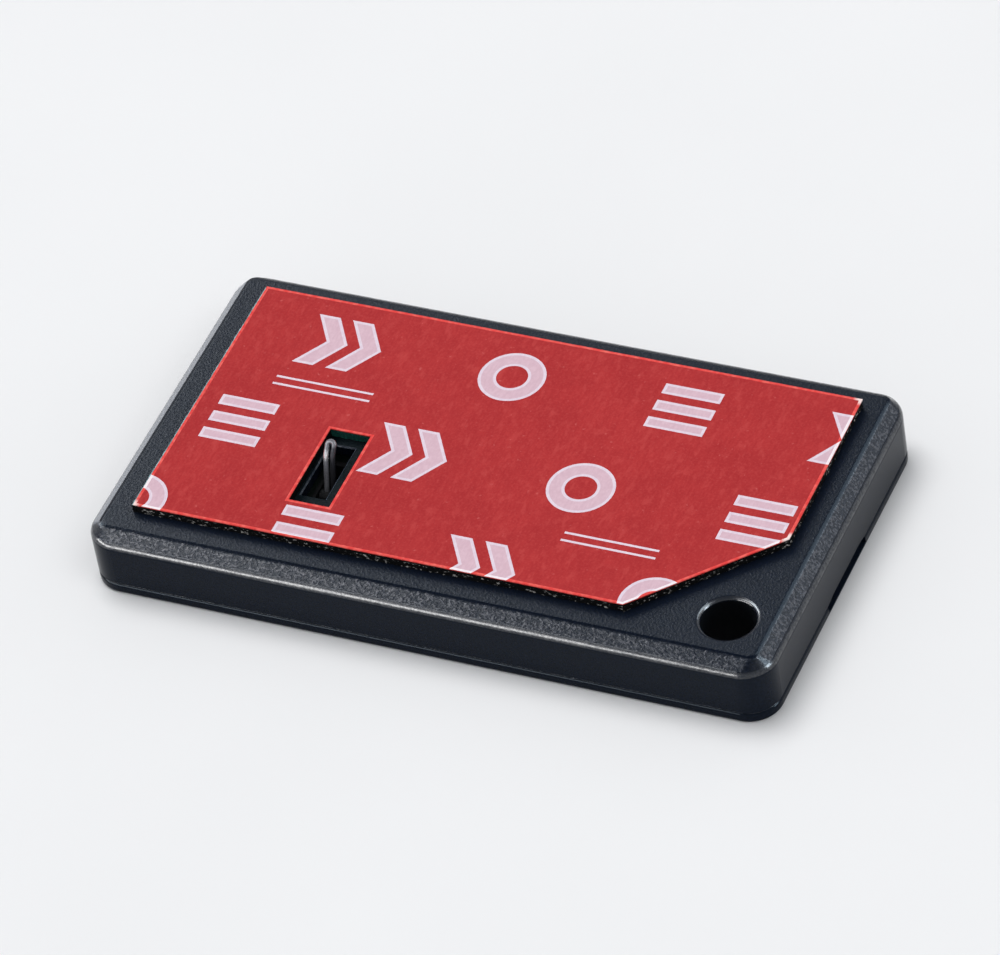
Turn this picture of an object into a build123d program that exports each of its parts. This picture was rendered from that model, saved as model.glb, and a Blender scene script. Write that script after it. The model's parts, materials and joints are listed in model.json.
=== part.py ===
from build123d import *
from math import cos, radians, sin
import os

# Bluetooth beacon tag, lying on its front cover with the adhesive pad up. Sizes are in mm.
# The origin is under the middle of the front cover, +X runs to the lanyard hole end, and +Z to the pad.

# Case
LENGTH = 63.0
WIDTH = 35.0
HEIGHT = 6.65
CORNER_R = 2.8
TOP_CORNER_R = 0.6
INNER_CORNER_R = 0.7
BEVEL_IN = 1.32
BEVEL_RISE = 1.18
EDGE_R = 1.0
CREASE_R = 0.7
WALL = 1.3
ROOF = 1.0
COVER_LIP = 1.15
COVER_EDGE_R = 0.35
COVER_TOP_R = 0.40
COVER_FLOOR = 0.90
SEAM = 0.08
CUT_PAST = 0.2

# Lanyard hole
HOLE_R = 2.35
HOLE_FROM_WALLS = 5.15
HOLE_WALL = 1.85
HOLE_RIM_R = 0.40

# Rim, snaps and seal of the cover. A place is its distance from the -X end or the -Y side of the case,
# and a negative one is measured back from the +X end or the +Y side.
RIM_FIT = 0.08
RIM_T = 1.1
RIM_TOP = 2.05
SEAL_Z = 1.25
SEAL_H = 0.55
SEAL_GROOVE = 0.50
SEAL_FIT = 0.03
SNAPS = (11.5, 30.5, -14.5)
SNAP_W = 5.0
SNAP_T = 0.6
SNAP_RISE = 1.25
BEAD = 0.30
BEAD_LOW = 0.35
BEAD_FLAT = 0.25
BEAD_HIGH = 0.35
SNAP_POCKET_FIT = 0.08
SNAP_SIDE_FIT = 0.16

# Pry notch at the +X end
NOTCH_Y = 0.5
NOTCH_FOOT = 8.8
NOTCH_HEAD = 6.2
NOTCH_DEPTH = 0.9
NOTCH_Z0 = 0.40
NOTCH_HEAD_H = 0.22

# Adhesive pad and its release film
PAD_IN_LEFT = 3.65
PAD_IN_RIGHT = 3.15
PAD_IN_FRONT = 3.5
PAD_IN_BACK = 3.1
PAD_CUT_X = 10.7
PAD_CUT_Y = 10.9
FOAM_T = 0.80
LINER_T = 0.10
PAD_WINDOW_DX = 0.48
PAD_WINDOW_DY = -0.38
PAD_WINDOW_W = 3.8
PAD_WINDOW_L = 9.0

# Window of the rear housing
WINDOW_FROM_END = 18.1
WINDOW_Y = -4.98
WINDOW_W = 2.3
WINDOW_L = 6.35
WINDOW_EDGE = 0.12

# Circuit board
BOARD_T = 0.8
BOARD_FIT = 0.35
BOARD_SEAT = 0.25
BOARD_SLOT_FIT = 0.10
SEAT_R = 1.6
STAKE_R = 0.6
STAKE_HEAD_R = 1.1
STAKE_HEAD_T = 0.4
STAKE_FIT = 0.05
STAKES = ((3.7, -4.1), (23.5, 3.9), (-12.9, 4.1), (-3.9, -4.3))

# Coin cell and its contacts
CELL_R = 10.0
CELL_LIFT = 0.25
CELL_X = 5.5
CELL_Y = 0.0
CAN_WALL = 0.25
CAN_SHORT = 0.45
GASKET_T = 1.05
FLANGE_OUT = 0.7
CAP_H = 1.3
ANODE_T = 0.6
SEPARATOR_T = 0.6
FILL_FIT = 0.05
NEGATIVE_T = 0.25
NEGATIVE_R = 4.0
NEGATIVE_PETAL_R = 2.0
NEGATIVE_PETALS = 3
CLIP_T = 0.18
CLIP_W = 6.0
CLIP_SIDE_FIT = 0.15
CLIP_FOOT = 1.8
CLIP_BEND_R = 0.25

# Tamper switch and its wire lever
PIVOT_Y = -5.43
PIVOT_DROP = 0.45
WIRE_R = 0.225
LEG_SPACING = 0.62
LOWER_LENGTH = 4.12
LOWER_ANGLE = 74.3
UPPER_LENGTH = 1.29
UPPER_ANGLE = 50.0
KNEE_R = 2.0
WIRE_SEAT = 0.15
WIRE_FIT = 0.01
HUB_R = 0.75
HUB_L = 1.6
JOURNAL_R = 0.30
JOURNAL_L = 0.7
JOURNAL_FIT = 0.03
LOBE_R = 1.40
LOBE_T = 0.50
LOBE_W = 1.2
LOBE_FIT = 0.02
BASE_W = 5.0
BASE_FLOOR = 0.5
BASE_WALL = 0.8
WELL_W = 1.9
WELL_CLEAR = 0.25
STOP_RISE = 0.75
LID_T = 0.30
CONTACT_T = 0.12
CONTACT_W = 0.65
CONTACT_GAP = 0.20
CONTACT_BEND_R = 0.14
CONTACT_TOP = 0.80
CONTACT_TIP = 0.40
CONTACT_FIT = 0.02
CONTACT_TRAVEL = 0.74
TERMINAL_OUT = 0.15
TERMINAL_FOOT = 0.9

# Parts on the board, with y from the middle, and x from an end as above
RADIO_SIZE = (6.0, 6.0, 0.85)
RADIO_AT = (10.9, 4.2)
MAIN_CRYSTAL_SIZE = (2.0, 1.6, 0.5)
MAIN_CRYSTAL_AT = (10.9, -0.9)
SLEEP_CRYSTAL_SIZE = (1.5, 3.2, 0.75)
SLEEP_CRYSTAL_AT = (16.2, 4.2)
SENSOR_SIZE = (2.0, 2.0, 0.95)
SENSOR_AT = (-8.9, 1.6)
BULK_SIZE = (3.2, 2.5, 1.8)
BULK_AT = (-8.9, -3.4)
LED_SIZE = (1.6, 0.8, 0.6)
LED_AT = (-8.9, 8.0)
CHIP_SIZE = (1.0, 0.5, 0.5)
CHIP_PITCH = 1.5
CHIP_EDGE = 0.04
CAPACITOR_ROWS = ((7.9, 9.2), (7.9, 10.8), (18.9, 8.0), (-10.9, 4.8))
CAPACITOR_COUNTS = (5, 5, 3, 3)
RESISTOR_ROWS = ((7.9, 12.4), (-10.9, 10.4), (-10.9, 11.8))
RESISTOR_COUNTS = (4, 3, 3)
INDUCTOR_SIZE = (1.6, 0.8, 0.8)
INDUCTOR_PITCH = 2.6
INDUCTOR_ROWS = ((8.1, -3.4), (18.7, 10.4))
INDUCTOR_COUNTS = (2, 1)
PAD_DISC_R = 0.6
PAD_DISC_T = 0.05
PAD_DISC_PITCH = 1.9
PAD_DISC_COUNT = 5
PAD_DISC_AT = (25.5, -4.1)
TRACE_T = 0.05
TRACE_W = 0.7
TRACE_RUN = 3.4
TRACE_PITCH = 1.7
TRACE_TURNS = 6
TRACE_FROM_END = 2.3
TRACE_Y = -9.6
TRACE_FEED = 2.6

# Light pipe
PIPE_R = 0.95
PIPE_FIT = 0.03
PIPE_FLANGE_R = 1.6
PIPE_FLANGE_T = 0.4
PIPE_RECESS = 0.04
PIPE_LED_GAP = 0.15

# Radii of the cell and heights that the sizes above give
cap_r = CELL_R - CAN_WALL - GASKET_T
flange_r = cap_r + FLANGE_OUT
seam_z = COVER_LIP + SEAM
ceiling_z = HEIGHT - ROOF
board_top = ceiling_z - BOARD_SEAT
board_z = board_top - BOARD_T
foam_top = HEIGHT + FOAM_T
cell_top = board_z - NEGATIVE_T
cell_z = COVER_FLOOR + CELL_LIFT
cell_t = cell_top - cell_z
can_h = cell_t - CAN_SHORT
flange_z = cell_top - CAP_H
cathode_t = cell_t - 2 * CAN_WALL - ANODE_T - SEPARATOR_T
lid_z = board_z - LID_T
pivot_z = lid_z - PIVOT_DROP
well_floor = pivot_z - LOBE_R - WELL_CLEAR
base_z = well_floor - BASE_FLOOR


def from_end(place):
    """The x of a place measured from the -X end of the case, or back from its +X end."""
    return place - LENGTH / 2 if place > 0 else place + LENGTH / 2


def from_side(place):
    """The y of a place measured from the -Y side of the case, or back from its +Y side."""
    return place - WIDTH / 2 if place > 0 else place + WIDTH / 2


# Places that the sizes above give
window_x = from_end(WINDOW_FROM_END)
pad_window = (window_x + PAD_WINDOW_DX, WINDOW_Y + PAD_WINDOW_DY)
hole_at = (from_end(-HOLE_FROM_WALLS), from_side(HOLE_FROM_WALLS))
led_at = (from_end(LED_AT[0]), LED_AT[1])
stakes = [(from_end(x), from_side(y)) for x, y in STAKES]
inner_y = WIDTH / 2 - WALL
base_y0 = WINDOW_Y - WINDOW_L / 2 - BASE_WALL / 2
base_y1 = WINDOW_Y + WINDOW_L / 2 + BASE_WALL / 2
well_y0 = base_y0 + BASE_WALL
well_y1 = base_y1 - BASE_WALL
lower_way = Vector(0, cos(radians(LOWER_ANGLE)), sin(radians(LOWER_ANGLE)))
upper_way = Vector(0, cos(radians(UPPER_ANGLE)), sin(radians(UPPER_ANGLE)))
pivot = Vector(window_x, PIVOT_Y, pivot_z)


def case_outline():
    """Outline of the tag in plan, drawn in the sketch in hand."""
    RectangleRounded(LENGTH, WIDTH, CORNER_R)


def inner_outline(inset):
    """Outline of the inner space, drawn in by inset: the corner with the lanyard hole stays solid."""
    margin = WALL + inset
    corner = max(CORNER_R - margin, INNER_CORNER_R)
    RectangleRounded(LENGTH - 2 * margin, WIDTH - 2 * margin, corner)
    reach = HOLE_R + HOLE_WALL + inset
    block = 2 * reach + HOLE_FROM_WALLS + CUT_PAST
    with Locations((hole_at[0] - reach + block / 2, hole_at[1] + reach - block / 2)):
        RectangleRounded(block, block, reach, mode=Mode.SUBTRACT)


def pad_outline():
    """Outline of the adhesive pad, with its cut corner and the cut-out round the window."""
    left, right = from_end(PAD_IN_LEFT), from_end(-PAD_IN_RIGHT)
    front, back = from_side(PAD_IN_FRONT), from_side(-PAD_IN_BACK)
    with Locations(((left + right) / 2, (front + back) / 2)):
        Rectangle(right - left, back - front)
    corner = ((right, front), (right, front + PAD_CUT_Y), (right - PAD_CUT_X, front))
    Polygon(*corner, align=None, mode=Mode.SUBTRACT)
    with Locations(pad_window):
        Rectangle(PAD_WINDOW_W, PAD_WINDOW_L, mode=Mode.SUBTRACT)


def notch_outline():
    """Face of the pry notch on the end wall, wider at its foot."""
    Polygon(
        (NOTCH_Y - NOTCH_FOOT / 2, NOTCH_Z0),
        (NOTCH_Y + NOTCH_FOOT / 2, NOTCH_Z0),
        (NOTCH_Y + NOTCH_FOOT / 2, seam_z),
        (NOTCH_Y + NOTCH_HEAD / 2, seam_z + NOTCH_HEAD_H),
        (NOTCH_Y - NOTCH_HEAD / 2, seam_z + NOTCH_HEAD_H),
        (NOTCH_Y - NOTCH_FOOT / 2, seam_z),
        align=None,
    )


def chips(size, rows, counts=(1,), pitch=0):
    """Rows of like chips under the board, in the part in hand."""
    for (x, y), count in zip(rows, counts):
        first_x = from_end(x)
        with Locations([(first_x + k * pitch, y, board_z - size[2] / 2) for k in range(count)]):
            Box(*size)


def save(piece, name):
    """Labels one finished piece and writes its STEP file."""
    piece.part.label = name
    export_step(piece.part, f"parts/{name}.step")


os.makedirs("parts", exist_ok=True)

# Rear housing: roof with a bevelled edge, walls, board seats with their stakes, and the lanyard corner
with BuildPart() as rear_housing:
    with BuildSketch(Plane.XY.offset(seam_z)):
        case_outline()
    extrude(amount=HEIGHT - BEVEL_RISE - seam_z)
    with BuildSketch(Plane.XY.offset(HEIGHT - BEVEL_RISE)):
        case_outline()
    with BuildSketch(Plane.XY.offset(HEIGHT)):
        RectangleRounded(LENGTH - 2 * BEVEL_IN, WIDTH - 2 * BEVEL_IN, TOP_CORNER_R)
    loft(ruled=True)
    foot_z, head_z = HEIGHT - 1.25 * BEVEL_RISE, HEIGHT - 0.75 * BEVEL_RISE
    fillet(rear_housing.edges().filter_by_position(Axis.Z, foot_z, head_z), EDGE_R)
    fillet(rear_housing.faces().sort_by(Axis.Z)[-1].edges(), CREASE_R)
    with BuildSketch(Plane.XY.offset(seam_z)):
        inner_outline(0)
    extrude(amount=ceiling_z - seam_z, mode=Mode.SUBTRACT)
    with BuildSketch(Plane.XY.offset(seam_z)):
        with Locations(hole_at):
            Circle(HOLE_R)
    extrude(amount=HEIGHT - seam_z, mode=Mode.SUBTRACT)
    fillet(rear_housing.faces().sort_by(Axis.Z)[-1].inner_wires()[0].edges(), HOLE_RIM_R)
    with BuildSketch(Plane.XY.offset(ceiling_z)):
        with Locations((window_x, WINDOW_Y)):
            Rectangle(WINDOW_W, WINDOW_L)
    extrude(amount=ROOF, mode=Mode.SUBTRACT)
    roof_openings = rear_housing.faces().sort_by(Axis.Z)[-1].inner_wires().sort_by(Axis.X)
    chamfer(roof_openings[0].edges(), WINDOW_EDGE)
    with BuildSketch(Plane.YZ.offset(LENGTH / 2)):
        notch_outline()
    extrude(amount=-NOTCH_DEPTH, mode=Mode.SUBTRACT)
    for side in (-1, 1):
        pocket_y = side * (inner_y + (BEAD + SNAP_POCKET_FIT) / 2 - RIM_FIT / 2)
        pocket_h = BEAD_LOW + BEAD_FLAT + BEAD_HIGH + 2 * SNAP_POCKET_FIT
        pocket_z = RIM_TOP + SNAP_RISE - (pocket_h / 2) + SNAP_POCKET_FIT
        with Locations([(from_end(snap), pocket_y, pocket_z) for snap in SNAPS]):
            Box(SNAP_W + 2 * SNAP_SIDE_FIT, BEAD + SNAP_POCKET_FIT + RIM_FIT, pocket_h, mode=Mode.SUBTRACT)
    with BuildSketch(Plane.XY.offset(ceiling_z)):
        with Locations(*stakes):
            Circle(SEAT_R)
    extrude(amount=-BOARD_SEAT)
    with BuildSketch(Plane.XY.offset(board_top)):
        with Locations(*stakes):
            Circle(STAKE_R)
    extrude(amount=-BOARD_T)
    with BuildSketch(Plane.XY.offset(board_z)):
        with Locations(*stakes):
            Circle(STAKE_HEAD_R)
    extrude(amount=-STAKE_HEAD_T)
save(rear_housing, "rear_housing")

# Front cover: outer plate with a rounded edge, and a rim with the seal groove that enters the housing
with BuildPart() as front_cover:
    with BuildSketch(Plane.XY):
        case_outline()
    extrude(amount=COVER_LIP)
    fillet(front_cover.faces().sort_by(Axis.Z)[0].edges(), COVER_EDGE_R)
    fillet(front_cover.faces().sort_by(Axis.Z)[-1].edges(), COVER_TOP_R)
    with BuildSketch(Plane.XY.offset(COVER_LIP)):
        inner_outline(RIM_FIT)
    extrude(amount=RIM_TOP - COVER_LIP)
    with BuildSketch(Plane.XY.offset(COVER_FLOOR)):
        inner_outline(RIM_FIT + RIM_T)
    extrude(amount=RIM_TOP - COVER_FLOOR, mode=Mode.SUBTRACT)
    with BuildSketch(Plane.XY.offset(SEAL_Z)):
        inner_outline(0)
    extrude(amount=SEAL_H, mode=Mode.SUBTRACT)
    with BuildSketch(Plane.XY.offset(SEAL_Z)):
        inner_outline(RIM_FIT + SEAL_GROOVE)
    extrude(amount=SEAL_H)
    with BuildSketch(Plane.XY.offset(SEAL_Z)):
        inner_outline(RIM_FIT + RIM_T)
    extrude(amount=SEAL_H, mode=Mode.SUBTRACT)
    with BuildSketch(Plane.XY):
        with Locations(hole_at):
            Circle(HOLE_R)
        with Locations(led_at):
            Circle(PIPE_R + PIPE_FIT)
    extrude(amount=RIM_TOP, mode=Mode.SUBTRACT)
    front_openings = front_cover.faces().sort_by(Axis.Z)[0].inner_wires().sort_by(SortBy.LENGTH)
    fillet(front_openings[-1].edges(), HOLE_RIM_R)
    with BuildSketch(Plane.YZ.offset(LENGTH / 2)):
        notch_outline()
    extrude(amount=-NOTCH_DEPTH, mode=Mode.SUBTRACT)
save(front_cover, "front_cover")

# Snap tongues on the rim: their beads spring into the pockets of the housing walls
with BuildPart() as cover_snaps:
    rim_y = inner_y - RIM_FIT
    bead_z = RIM_TOP + SNAP_RISE - BEAD_LOW - BEAD_FLAT - BEAD_HIGH
    for side in (-1, 1):
        for snap in SNAPS:
            with BuildSketch(Plane.YZ.offset(from_end(snap) - SNAP_W / 2)):
                with BuildLine():
                    Polyline(
                        (side * (rim_y - SNAP_T), RIM_TOP),
                        (side * rim_y, RIM_TOP),
                        (side * rim_y, bead_z),
                        (side * (rim_y + BEAD), bead_z + BEAD_LOW),
                        (side * (rim_y + BEAD), bead_z + BEAD_LOW + BEAD_FLAT),
                        (side * rim_y, RIM_TOP + SNAP_RISE),
                        (side * (rim_y - SNAP_T), RIM_TOP + SNAP_RISE),
                        close=True,
                    )
                make_face()
            extrude(amount=SNAP_W)
save(cover_snaps, "cover_snaps")

# Seal ring that fills the groove and meets the housing walls
with BuildPart() as perimeter_seal:
    with BuildSketch(Plane.XY.offset(SEAL_Z + SEAL_FIT)):
        inner_outline(SEAL_FIT)
    extrude(amount=SEAL_H - 2 * SEAL_FIT)
    with BuildSketch(Plane.XY.offset(SEAL_Z)):
        inner_outline(RIM_FIT + SEAL_GROOVE - SEAL_FIT)
    extrude(amount=SEAL_H, mode=Mode.SUBTRACT)
save(perimeter_seal, "perimeter_seal")

# Adhesive pad and release film
with BuildPart() as adhesive_foam:
    with BuildSketch(Plane.XY.offset(HEIGHT)):
        pad_outline()
    extrude(amount=FOAM_T)
save(adhesive_foam, "adhesive_foam")

with BuildPart() as release_liner:
    with BuildSketch(Plane.XY.offset(foam_top)):
        pad_outline()
    extrude(amount=LINER_T)
save(release_liner, "release_liner")

# Circuit board with its slot under the window and its stake holes
with BuildPart() as circuit_board:
    with BuildSketch(Plane.XY.offset(board_z)):
        inner_outline(BOARD_FIT)
        with Locations((window_x, WINDOW_Y)):
            Rectangle(WINDOW_W + 2 * BOARD_SLOT_FIT, WINDOW_L + 2 * BOARD_SLOT_FIT, mode=Mode.SUBTRACT)
        with Locations(*stakes):
            Circle(STAKE_R + STAKE_FIT, mode=Mode.SUBTRACT)
    extrude(amount=BOARD_T)
save(circuit_board, "circuit_board")

# Meander antenna on the board, at the end away from the lanyard hole
trace_x = from_end(TRACE_FROM_END)
with BuildPart() as antenna_trace:
    with BuildSketch(Plane.XY.offset(board_z - TRACE_T)):
        for k in range(TRACE_TURNS + 1):
            with Locations((trace_x + TRACE_RUN / 2, TRACE_Y + k * TRACE_PITCH)):
                Rectangle(TRACE_RUN, TRACE_W)
        for k in range(TRACE_TURNS):
            end_x = trace_x + (TRACE_RUN - TRACE_W if k % 2 == 0 else 0) + TRACE_W / 2
            with Locations((end_x, TRACE_Y + (k + 0.5) * TRACE_PITCH)):
                Rectangle(TRACE_W, TRACE_PITCH + TRACE_W)
        with Locations((trace_x + TRACE_RUN + TRACE_FEED / 2, TRACE_Y + TRACE_TURNS * TRACE_PITCH)):
            Rectangle(TRACE_FEED, TRACE_W)
    extrude(amount=TRACE_T)
save(antenna_trace, "antenna_trace")

# Packages on the board
with BuildPart() as radio_chip:
    chips(RADIO_SIZE, [RADIO_AT])
    chamfer(radio_chip.faces().sort_by(Axis.Z)[0].edges(), CHIP_EDGE)
save(radio_chip, "radio_chip")

with BuildPart() as main_crystal:
    chips(MAIN_CRYSTAL_SIZE, [MAIN_CRYSTAL_AT])
    chamfer(main_crystal.faces().sort_by(Axis.Z)[0].edges(), CHIP_EDGE)
save(main_crystal, "main_crystal")

with BuildPart() as sleep_crystal:
    chips(SLEEP_CRYSTAL_SIZE, [SLEEP_CRYSTAL_AT])
    chamfer(sleep_crystal.faces().sort_by(Axis.Z)[0].edges(), CHIP_EDGE)
save(sleep_crystal, "sleep_crystal")

with BuildPart() as motion_sensor:
    chips(SENSOR_SIZE, [SENSOR_AT])
    chamfer(motion_sensor.faces().sort_by(Axis.Z)[0].edges(), CHIP_EDGE)
save(motion_sensor, "motion_sensor")

with BuildPart() as bulk_capacitor:
    chips(BULK_SIZE, [BULK_AT])
    chamfer(bulk_capacitor.edges(), CHIP_EDGE)
save(bulk_capacitor, "bulk_capacitor")

with BuildPart() as status_led:
    chips(LED_SIZE, [LED_AT])
    chamfer(status_led.faces().sort_by(Axis.Z)[0].edges(), CHIP_EDGE)
save(status_led, "status_led")

with BuildPart() as chip_capacitors:
    chips(CHIP_SIZE, CAPACITOR_ROWS, CAPACITOR_COUNTS, CHIP_PITCH)
    fillet(chip_capacitors.edges().filter_by(Axis.X), CHIP_EDGE)
save(chip_capacitors, "chip_capacitors")

with BuildPart() as chip_resistors:
    chips(CHIP_SIZE, RESISTOR_ROWS, RESISTOR_COUNTS, CHIP_PITCH)
    fillet(chip_resistors.edges().filter_by(Axis.X), CHIP_EDGE)
save(chip_resistors, "chip_resistors")

with BuildPart() as chip_inductors:
    chips(INDUCTOR_SIZE, INDUCTOR_ROWS, INDUCTOR_COUNTS, INDUCTOR_PITCH)
    fillet(chip_inductors.edges().filter_by(Axis.X), CHIP_EDGE)
save(chip_inductors, "chip_inductors")

# Gold test pads in a row
with BuildPart() as test_pads:
    disc_x = from_end(PAD_DISC_AT[0])
    disc_y = from_side(PAD_DISC_AT[1])
    with BuildSketch(Plane.XY.offset(board_z - PAD_DISC_T)):
        with Locations([(disc_x + k * PAD_DISC_PITCH, disc_y) for k in range(PAD_DISC_COUNT)]):
            Circle(PAD_DISC_R)
    extrude(amount=PAD_DISC_T)
save(test_pads, "test_pads")

# Coin cell: the can faces the cover, the smaller cap faces the board
with BuildPart() as cell_can:
    with BuildSketch(Plane.XY.offset(cell_z)):
        with Locations((CELL_X, CELL_Y)):
            Circle(CELL_R)
    extrude(amount=can_h)
    with BuildSketch(Plane.XY.offset(cell_z + CAN_WALL)):
        with Locations((CELL_X, CELL_Y)):
            Circle(CELL_R - CAN_WALL)
    extrude(amount=can_h, mode=Mode.SUBTRACT)
    fillet(cell_can.faces().sort_by(Axis.Z)[0].edges(), CAN_WALL)
save(cell_can, "cell_can")

with BuildPart() as cell_gasket:
    with BuildSketch(Plane.XY.offset(cell_z + CAN_WALL)):
        with Locations((CELL_X, CELL_Y)):
            Circle(CELL_R - CAN_WALL)
            Circle(cap_r, mode=Mode.SUBTRACT)
    extrude(amount=can_h - CAN_WALL)
    with BuildSketch(Plane.XY.offset(flange_z)):
        with Locations((CELL_X, CELL_Y)):
            Circle(flange_r)
    extrude(amount=CAN_WALL, mode=Mode.SUBTRACT)
save(cell_gasket, "cell_gasket")

with BuildPart() as cell_cap:
    with BuildSketch(Plane.XY.offset(flange_z)):
        with Locations((CELL_X, CELL_Y)):
            Circle(cap_r)
    extrude(amount=CAP_H)
    fillet(cell_cap.faces().sort_by(Axis.Z)[-1].edges(), CAN_WALL)
    with BuildSketch(Plane.XY.offset(flange_z)):
        with Locations((CELL_X, CELL_Y)):
            Circle(flange_r)
    extrude(amount=CAN_WALL)
    with BuildSketch(Plane.XY.offset(flange_z)):
        with Locations((CELL_X, CELL_Y)):
            Circle(cap_r - CAN_WALL)
    extrude(amount=CAP_H - CAN_WALL, mode=Mode.SUBTRACT)
save(cell_cap, "cell_cap")

with BuildPart() as cell_cathode:
    with BuildSketch(Plane.XY.offset(cell_z + CAN_WALL)):
        with Locations((CELL_X, CELL_Y)):
            Circle(cap_r - CAN_WALL - FILL_FIT)
    extrude(amount=cathode_t)
save(cell_cathode, "cell_cathode")

with BuildPart() as cell_anode:
    with BuildSketch(Plane.XY.offset(cell_top - CAN_WALL - ANODE_T)):
        with Locations((CELL_X, CELL_Y)):
            Circle(cap_r - CAN_WALL - FILL_FIT)
    extrude(amount=ANODE_T)
save(cell_anode, "cell_anode")

# Positive clip over the can, soldered to the board at both feet
with BuildPart() as cell_clip:
    leg_x = CELL_R + CLIP_SIDE_FIT + CLIP_T / 2
    foot_z = board_z - CLIP_T / 2
    strap_z = cell_z - CLIP_T / 2
    with BuildSketch(Plane.XZ.offset(CLIP_W / 2 - CELL_Y)):
        with BuildLine():
            FilletPolyline(
                (CELL_X - leg_x - CLIP_FOOT, foot_z),
                (CELL_X - leg_x, foot_z),
                (CELL_X - leg_x, strap_z),
                (CELL_X + leg_x, strap_z),
                (CELL_X + leg_x, foot_z),
                (CELL_X + leg_x + CLIP_FOOT, foot_z),
                radius=CLIP_BEND_R,
            )
        trace(line_width=CLIP_T)
    extrude(amount=-CLIP_W)
save(cell_clip, "cell_clip")

with BuildPart() as cell_negative_contact:
    with BuildSketch(Plane.XY.offset(cell_top)):
        with Locations((CELL_X, CELL_Y)):
            Circle(NEGATIVE_R)
            with PolarLocations(NEGATIVE_R, NEGATIVE_PETALS):
                Circle(NEGATIVE_PETAL_R)
    extrude(amount=NEGATIVE_T)
save(cell_negative_contact, "cell_negative_contact")

# Tamper switch body: a well for the hub, bearings for its journals and a stop for its lobe
with BuildPart() as switch_base:
    with BuildSketch(Plane.XY.offset(base_z)):
        with Locations((window_x, (base_y0 + base_y1) / 2)):
            Rectangle(BASE_W, base_y1 - base_y0)
    extrude(amount=lid_z - base_z)
    stop_y = PIVOT_Y + LOBE_T / 2 + LOBE_FIT
    with BuildSketch(Plane.XY.offset(well_floor + STOP_RISE)):
        with Locations((window_x, (well_y0 + well_y1) / 2)):
            Rectangle(WELL_W, well_y1 - well_y0)
    extrude(amount=lid_z - well_floor, mode=Mode.SUBTRACT)
    with BuildSketch(Plane.XY.offset(well_floor)):
        with Locations((window_x, (well_y0 + stop_y) / 2)):
            Rectangle(WELL_W, stop_y - well_y0)
    extrude(amount=STOP_RISE, mode=Mode.SUBTRACT)
    bearing_r = JOURNAL_R + JOURNAL_FIT
    bearing_l = HUB_L + 2 * JOURNAL_L + 2 * LOBE_FIT
    with BuildSketch(Plane.YZ.offset(window_x - bearing_l / 2)):
        with Locations((PIVOT_Y, pivot_z)):
            Circle(bearing_r)
        with Locations((PIVOT_Y, pivot_z + BASE_WALL / 2)):
            Rectangle(2 * bearing_r, BASE_WALL)
    extrude(amount=bearing_l, mode=Mode.SUBTRACT)
    for side in (-1, 1):
        slot_w = CONTACT_W + 2 * CONTACT_FIT
        slot_h = CONTACT_T + 2 * CONTACT_FIT
        slot_x = window_x + side * (CONTACT_GAP + CONTACT_W) / 2
        with Locations((slot_x, base_y0 + BASE_WALL / 2, well_floor + slot_h / 2)):
            Box(slot_w, BASE_WALL + 2 * CUT_PAST, slot_h, mode=Mode.SUBTRACT)
save(switch_base, "switch_base")

with BuildPart() as switch_lid:
    with BuildSketch(Plane.XY.offset(lid_z)):
        with Locations((window_x, (base_y0 + base_y1) / 2)):
            Rectangle(BASE_W, base_y1 - base_y0)
        with Locations((window_x, (well_y0 + well_y1) / 2)):
            Rectangle(WELL_W, well_y1 - well_y0, mode=Mode.SUBTRACT)
    extrude(amount=LID_T)
save(switch_lid, "switch_lid")

# Switch contacts: bent strips on the well floor, out through the end wall and up to the board
strip_z = well_floor + CONTACT_FIT + CONTACT_T / 2
leaf_y = PIVOT_Y - LOBE_T / 2 - LOBE_FIT - CONTACT_T / 2
rise_y = base_y0 - TERMINAL_OUT - CONTACT_T / 2
terminal_z = board_z - CONTACT_T / 2
with BuildPart() as switch_moving_contact:
    with BuildSketch(Plane.YZ.offset(window_x - CONTACT_GAP / 2 - CONTACT_W)):
        with BuildLine():
            FilletPolyline(
                (leaf_y, well_floor + CONTACT_TOP),
                (leaf_y, strip_z),
                (rise_y, strip_z),
                (rise_y, terminal_z),
                (rise_y - TERMINAL_FOOT, terminal_z),
                radius=CONTACT_BEND_R,
            )
        trace(line_width=CONTACT_T)
    extrude(amount=CONTACT_W)
    with Locations((window_x, leaf_y, well_floor + CONTACT_TOP - CONTACT_TIP / 2)):
        Box(2 * CONTACT_W + CONTACT_GAP, CONTACT_T, CONTACT_TIP)
save(switch_moving_contact, "switch_moving_contact")

with BuildPart() as switch_fixed_contact:
    post_y = leaf_y - CONTACT_TRAVEL
    with BuildSketch(Plane.YZ.offset(window_x + CONTACT_GAP / 2)):
        with BuildLine():
            FilletPolyline(
                (post_y, well_floor + CONTACT_TOP),
                (post_y, strip_z),
                (rise_y, strip_z),
                (rise_y, terminal_z),
                (rise_y - TERMINAL_FOOT, terminal_z),
                radius=CONTACT_BEND_R,
            )
        trace(line_width=CONTACT_T)
    extrude(amount=CONTACT_W)
save(switch_fixed_contact, "switch_fixed_contact")

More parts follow.
